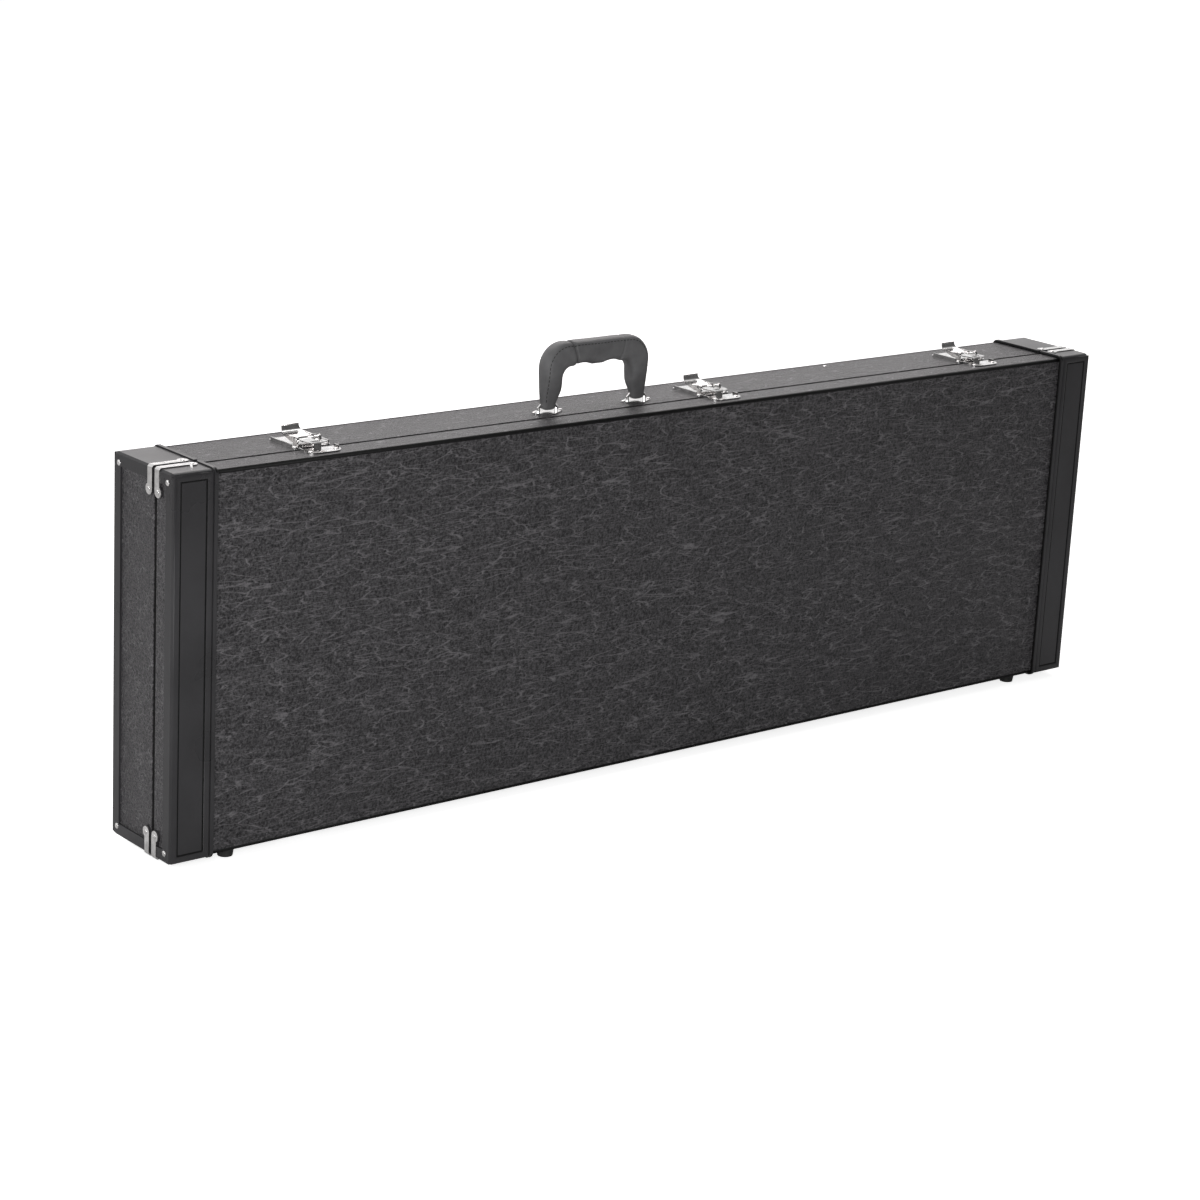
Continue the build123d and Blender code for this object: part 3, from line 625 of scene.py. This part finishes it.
def lining_sheet(node, body, floor_side):
    """A plush sheet over a tray's floor and walls, rounded in the corners and slightly uneven."""
    low, high = (Vector(c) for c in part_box(node))
    floor_y = (high.y if floor_side > 0 else low.y) - floor_side * LINING_INSET
    depth = high.y - low.y - LINING_INSET - LINING_CLOTH
    x0, x1 = low.x + LINING_INSET, high.x - LINING_INSET
    z0, z1 = low.z + LINING_INSET, high.z - LINING_INSET
    nx = round((x1 - x0) / LINING_STEP)
    nz = round((z1 - z0) / LINING_STEP)

    def place(x, z, up):
        uneven = LINING_UNEVEN * noise.noise(Vector((x, z, 0.3)) * LINING_RIPPLES)
        return Vector((x, floor_y - floor_side * (up + uneven), z))

    def loop(inward, up):
        a0, a1, b0, b1 = x0 + inward, x1 - inward, z0 + inward, z1 - inward
        around = [(a0 + (a1 - a0) * i / nx, b0) for i in range(nx)]
        around += [(a1, b0 + (b1 - b0) * i / nz) for i in range(nz)]
        around += [(a1 - (a1 - a0) * i / nx, b1) for i in range(nx)]
        around += [(a0, b1 - (b1 - b0) * i / nz) for i in range(nz)]
        return [bm.verts.new(place(x, z, up)) for x, z in around]

    bm = bmesh.new()
    loops = [loop(0.0, up) for up in (depth, depth * LINING_MID_WALL, LINING_CORNER)]
    for step in range(1, LINING_CORNER_STEPS + 1):
        angle = math.pi / 2 * step / LINING_CORNER_STEPS
        loops.append(loop(LINING_CORNER * (1 - math.cos(angle)), LINING_CORNER * (1 - math.sin(angle))))
    count = len(loops[0])
    for one, two in zip(loops, loops[1:]):
        for i in range(count):
            bm.faces.new((one[i], one[(i + 1) % count], two[(i + 1) % count], two[i]))
    rim = loops[-1]
    grid = {}
    for i in range(nx + 1):
        for j in range(nz + 1):
            if j == 0:
                grid[i, j] = rim[i]
            elif i == nx:
                grid[i, j] = rim[nx + j]
            elif j == nz:
                grid[i, j] = rim[2 * nx + nz - i]
            elif i == 0:
                grid[i, j] = rim[count - j]
            else:
                x = x0 + LINING_CORNER + (x1 - x0 - 2 * LINING_CORNER) * i / nx
                z = z0 + LINING_CORNER + (z1 - z0 - 2 * LINING_CORNER) * j / nz
                grid[i, j] = bm.verts.new(place(x, z, 0.0))
    for i in range(nx):
        for j in range(nz):
            bm.faces.new((grid[i, j], grid[i + 1, j], grid[i + 1, j + 1], grid[i, j + 1]))
    name = node + "_cloth"
    cloth = add_piece(name, from_bmesh(name, bm), body, "plush", (node,))
    thick = cloth.modifiers.new("thickness", "SOLIDIFY")
    thick.thickness = LINING_CLOTH
    thick.offset = 0.0


# Mouldings on the ends' bands with painted groove shade strips, and the piping along the edges, whose
# near-black cords are painted shade, in millimetres
RIDGE_WIDTH = 6.4
RIDGE_HEIGHT = 1.3
RIDGE_SIDES = 8
RIDGE_FULLNESS = 0.6
RIDGE_FROM_END = 1.2
RIDGE_FROM_BAND = 0.6
RIDGE_FROM_EDGE = 1.6
# The groove is a thin near-black strip laid on the band inside the frame: painted shade, not a recess.
GROOVE_SHADE_WIDTH = 1.8
GROOVE_SHADE_HEIGHT = 0.3
GROOVE_SHADE_OVERLAP = 0.3
CAP_END = 618.0
CAP_FACE = 54.0
CAP_LOW = 8.0
CAP_HIGH = 393.0
BAND_EDGE = 574.0
BEAD_X = 571.4
BEAD_RADIUS = 2.1
BEAD_STAND = 1.1
# The long edges' piping is a near-black cord sunk into the rounded edge: painted shade of that edge.
EDGE_SHADE_CORD_RADIUS = 2.6
EDGE_SHADE_CORD_SINK = 2.2
PIPING_SIDES = 10
PIPING_TURNS = (0.0, 0.25, 0.5, 0.75, 1.0)
CASE_LOW = 10.0
CASE_FACE = 52.0
SEAM = -20.0
SEAM_CLEAR = 3.2


def half_round_frame(bm, x0, x1, z0, z1, y, facing, width, height):
    """A half-round strip round a rectangle on a flat face, mitred at its corners."""
    rings = []
    for x, z, sx, sz in ((x0, z0, 1, 1), (x1, z0, -1, 1), (x1, z1, -1, -1), (x0, z1, 1, -1)):
        ring = []
        for k in range(RIDGE_SIDES + 1):
            angle = math.pi * k / RIDGE_SIDES
            inward = (1 - math.cos(angle)) * width / 2
            up = facing * height * math.sin(angle) ** RIDGE_FULLNESS
            ring.append(bm.verts.new(Vector((x + sx * inward, y + up, z + sz * inward)) * MM))
        rings.append(ring)
    for i in range(4):
        one, two = rings[i], rings[(i + 1) % 4]
        for k in range(RIDGE_SIDES):
            bm.faces.new((one[k], two[k], two[k + 1], one[k + 1]))


def piping(bm, points, radius):
    """A round cord sewn along an open path, rounded at the path's corners."""
    dense = [points[0]]
    for before, corner, after in zip(points, points[1:], points[2:]):
        start = corner + (before - corner).normalized() * radius * 2
        end = corner + (after - corner).normalized() * radius * 2
        dense += [start.lerp(corner, t).lerp(corner.lerp(end, t), t) for t in PIPING_TURNS]
    dense.append(points[-1])
    rings = []
    for i, point in enumerate(dense):
        way = (dense[min(i + 1, len(dense) - 1)] - dense[max(i - 1, 0)]).normalized()
        side = way.cross(Vector((1, 0, 0)) if abs(way.x) < 0.5 else Vector((0, 1, 0))).normalized()
        other = way.cross(side)
        turns = [2 * math.pi * k / PIPING_SIDES for k in range(PIPING_SIDES)]
        rings.append([(point + (side * math.cos(a) + other * math.sin(a)) * radius) * MM for a in turns])
    skin_rings(bm, rings)


def build_trim():
    """The raised frame of each band with a painted shadow strip of a groove inside it, the bead beside it,
    and the long edges piped with near-black cords that are painted shade of the rounded edges.
    """
    for body, facing in (("lid", -1), ("base", 1)):
        # The dark mesh holds the beads together with near-black painted shade: the grooves' strips and the
        # long edges' cords.
        ridges, dark = bmesh.new(), bmesh.new()
        seam = SEAM + facing * SEAM_CLEAR
        face = facing * CAP_FACE
        for side in (-1, 1):
            x0, x1 = sorted((side * (CAP_END - RIDGE_FROM_END), side * (BAND_EDGE + RIDGE_FROM_BAND)))
            z0, z1 = CAP_LOW + RIDGE_FROM_EDGE, CAP_HIGH - RIDGE_FROM_EDGE
            half_round_frame(ridges, x0, x1, z0, z1, face, facing, RIDGE_WIDTH, RIDGE_HEIGHT)
            # A near-black strip just inside the frame: painted shade of a groove.
            inside = RIDGE_WIDTH - GROOVE_SHADE_OVERLAP
            half_round_frame(dark, x0 + inside, x1 - inside, z0 + inside, z1 - inside, face, facing,
                             GROOVE_SHADE_WIDTH, GROOVE_SHADE_HEIGHT)
            bead_y = facing * (CASE_FACE + BEAD_STAND)
            top, low = SHELL_TOP + BEAD_STAND, CASE_LOW - BEAD_STAND
            path = [(seam, top), (bead_y, top), (bead_y, low), (seam, low)]
            piping(dark, [Vector((side * BEAD_X, y, z)) for y, z in path], BEAD_RADIUS)
        # Near-black cords sunk into the rounded long edges: painted shade of the edges.
        for z in (SHELL_TOP - EDGE_SHADE_CORD_SINK, CASE_LOW + EDGE_SHADE_CORD_SINK):
            y = facing * (CASE_FACE - EDGE_SHADE_CORD_SINK)
            along = [Vector((x, y, z)) for x in (-BEAD_X, 0, BEAD_X)]
            piping(dark, along, EDGE_SHADE_CORD_RADIUS)
        # The near-black piece carries the beads, the painted groove shade and the painted edge shade.
        for name, bm, slot in (("_band_mouldings", ridges, "smooth_vinyl"), ("_beads_and_painted_shade", dark, "edging")):
            add_piece(body + name, from_bmesh(body + name, bm), body, slot)


# CAD parts
PRESSED_EDGE = 0.22 * MM
PRESSED_ANGLE = 38
ROUND_PARTS = ("rivets", "nails", "pins", "stud", "staples", "rod")


def soften_edges(piece):
    """A small rounding along the sharp edges of a pressed part."""
    bevel = piece.modifiers.new("edge", "BEVEL")
    bevel.width = PRESSED_EDGE
    bevel.segments = 2
    bevel.limit_method = "ANGLE"
    bevel.angle_limit = math.radians(PRESSED_ANGLE)


def dress_cad_parts():
    """The record's materials on the CAD parts, and softer edges on pressed metal."""
    for part in frame["record"]["subparts"]:
        piece = nodes[part["node"]]
        piece.data.materials.clear()
        piece.data.materials.append(MATERIALS[part["material_slot"]])
        if part["material_slot"] == "nickel" and not part["node"].endswith(ROUND_PARTS):
            soften_edges(piece)


# The setting
FLOOR_REACH = 9.0
FLOOR_COLOUR = (0.9, 0.9, 0.9, 1.0)
FLOOR_GLOW = 0.78


def backdrop():
    """A pale floor that looks white to the camera and keeps the case's shadow."""
    mesh = bpy.data.meshes.new("floor")
    reach = FLOOR_REACH
    outline = [(-reach, -reach, 0), (reach, -reach, 0), (reach, reach, 0), (-reach, reach, 0)]
    mesh.from_pydata(outline, [], [(0, 1, 2, 3)])
    floor = bpy.data.objects.new("floor", mesh)
    scene.collection.objects.link(floor)
    t = Tree("floor")
    t.bsdf.inputs["Base Color"].default_value = FLOOR_COLOUR
    t.bsdf.inputs["Roughness"].default_value = 0.9
    glow = t.node("ShaderNodeEmission")
    glow.inputs["Strength"].default_value = FLOOR_GLOW
    path = t.node("ShaderNodeLightPath")
    both = t.node("ShaderNodeAddShader")
    mix = t.node("ShaderNodeMixShader")
    t.link(t.bsdf.outputs[0], both.inputs[0])
    t.link(glow.outputs[0], both.inputs[1])
    t.link(path.outputs["Is Camera Ray"], mix.inputs[0])
    t.link(t.bsdf.outputs[0], mix.inputs[1])
    t.link(both.outputs[0], mix.inputs[2])
    t.link(mix.outputs[0], t.out.inputs[0])
    mesh.materials.append(t.mat)


WORLD_LIGHT = 0.24
FRONT_DIMNESS = 0.12
FADE_FRONT, FADE_BACK = -0.25, 0.35


def studio_world():
    """An even dim light, white to the camera. Metal sees it white behind the case and dark in front."""
    made = bpy.data.worlds.new("studio")
    scene.world = made
    made.use_nodes = True
    tree = made.node_tree
    tree.nodes.clear()
    add, link = tree.nodes.new, tree.links.new
    out, mix, path = add("ShaderNodeOutputWorld"), add("ShaderNodeMixShader"), add("ShaderNodeLightPath")
    light, seen = add("ShaderNodeBackground"), add("ShaderNodeBackground")
    light.inputs[0].default_value = seen.inputs[0].default_value = (1, 1, 1, 1)
    light.inputs[1].default_value = WORLD_LIGHT
    either, strength = add("ShaderNodeMath"), add("ShaderNodeMath")
    either.operation = strength.operation = "MAXIMUM"
    link(path.outputs["Is Camera Ray"], either.inputs[0])
    link(path.outputs["Is Glossy Ray"], either.inputs[1])
    parts, fade = add("ShaderNodeSeparateXYZ"), add("ShaderNodeMapRange")
    link(add("ShaderNodeTexCoord").outputs["Generated"], parts.inputs[0])
    link(parts.outputs[1], fade.inputs[0])
    for socket, number in zip(fade.inputs[1:5], (FADE_FRONT, FADE_BACK, FRONT_DIMNESS, 1.0)):
        socket.default_value = number
    link(fade.outputs[0], strength.inputs[0])
    link(path.outputs["Is Camera Ray"], strength.inputs[1])
    link(strength.outputs[0], seen.inputs[1])
    link(either.outputs[0], mix.inputs[0])
    link(light.outputs[0], mix.inputs[1])
    link(seen.outputs[0], mix.inputs[2])
    link(mix.outputs[0], out.inputs[0])


def lamp(name, place, aim, size, power, tint=(1.0, 1.0, 1.0)):
    """A soft rectangular lamp that points at a place and doesn't show in the picture."""
    data = bpy.data.lights.new(name, "AREA")
    data.shape = "RECTANGLE"
    data.size, data.size_y = size
    data.energy = power
    data.color = tint
    made = bpy.data.objects.new(name, data)
    scene.collection.objects.link(made)
    made.visible_camera = False
    made.location = place
    made.rotation_mode = "QUATERNION"
    made.rotation_quaternion = (Vector(aim) - Vector(place)).to_track_quat("-Z", "Y")


# The photograph's viewpoint, fitted from the case's corners
CAMERA_PLACE = (-2.0502, -2.4030, 1.0911)
CAMERA_AHEAD = (0.6126, 0.7388, -0.2808)
CAMERA_RIGHT = (0.7780, -0.6263, 0.0495)
SENSOR_WIDTH = 36.0
FOCAL_LENGTH = 91.82


def camera():
    """The camera at the photograph's viewpoint, with its axes made square to each other."""
    data = bpy.data.cameras.new("camera")
    data.sensor_width = SENSOR_WIDTH
    data.sensor_fit = "HORIZONTAL"
    data.lens = FOCAL_LENGTH
    data.clip_end = 100.0
    made = bpy.data.objects.new("camera", data)
    scene.collection.objects.link(made)
    ahead = Vector(CAMERA_AHEAD).normalized()
    up = Vector(CAMERA_RIGHT).cross(ahead).normalized()
    right = ahead.cross(up).normalized()
    turn = Matrix((right, up, -ahead)).transposed()
    made.matrix_world = Matrix.Translation(CAMERA_PLACE) @ turn.to_4x4()
    scene.camera = made


# What is made, in this order: each fastener node with the body that it is fixed to, then the rest
RIVETED = {
    "base_clip_rivets": "base", "lid_clip_rivets": "lid", "base_cap_nails": "base", "lid_cap_nails": "lid",
    "base_hinge_rivets": "base", "lid_hinge_rivets": "lid", "latch_rivets": "base", "catch_rivets": "lid",
    "handle_rivets": "base", "top_stud": "base",
}

dress_cad_parts()
for node, body in RIVETED.items():
    domed_heads(node, body)
build_handle()
build_trim()
for node in PADS:
    stuffed_pad(node)
lining_sheet("base_lining", "base", 1)
lining_sheet("lid_lining", "lid", -1)

backdrop()
studio_world()
lamp("behind", (1.2, 2.0, 1.9), aim=(0, 0, 0.35), size=(3.4, 1.4), power=24.0, tint=(1.0, 0.93, 0.93))
lamp("top", (-0.2, 0.4, 2.6), aim=(0, 0, 0.3), size=(3.0, 1.2), power=20.0)
lamp("front", (-1.9, -1.7, 0.8), aim=(-0.45, 0, 0.2), size=(0.9, 0.9), power=27.0)
lamp("end", (-3.0, 0.6, 1.2), aim=(-0.6, 0, 0.2), size=(1.6, 1.6), power=9.0)
camera()
scene.view_settings.view_transform = "Standard"
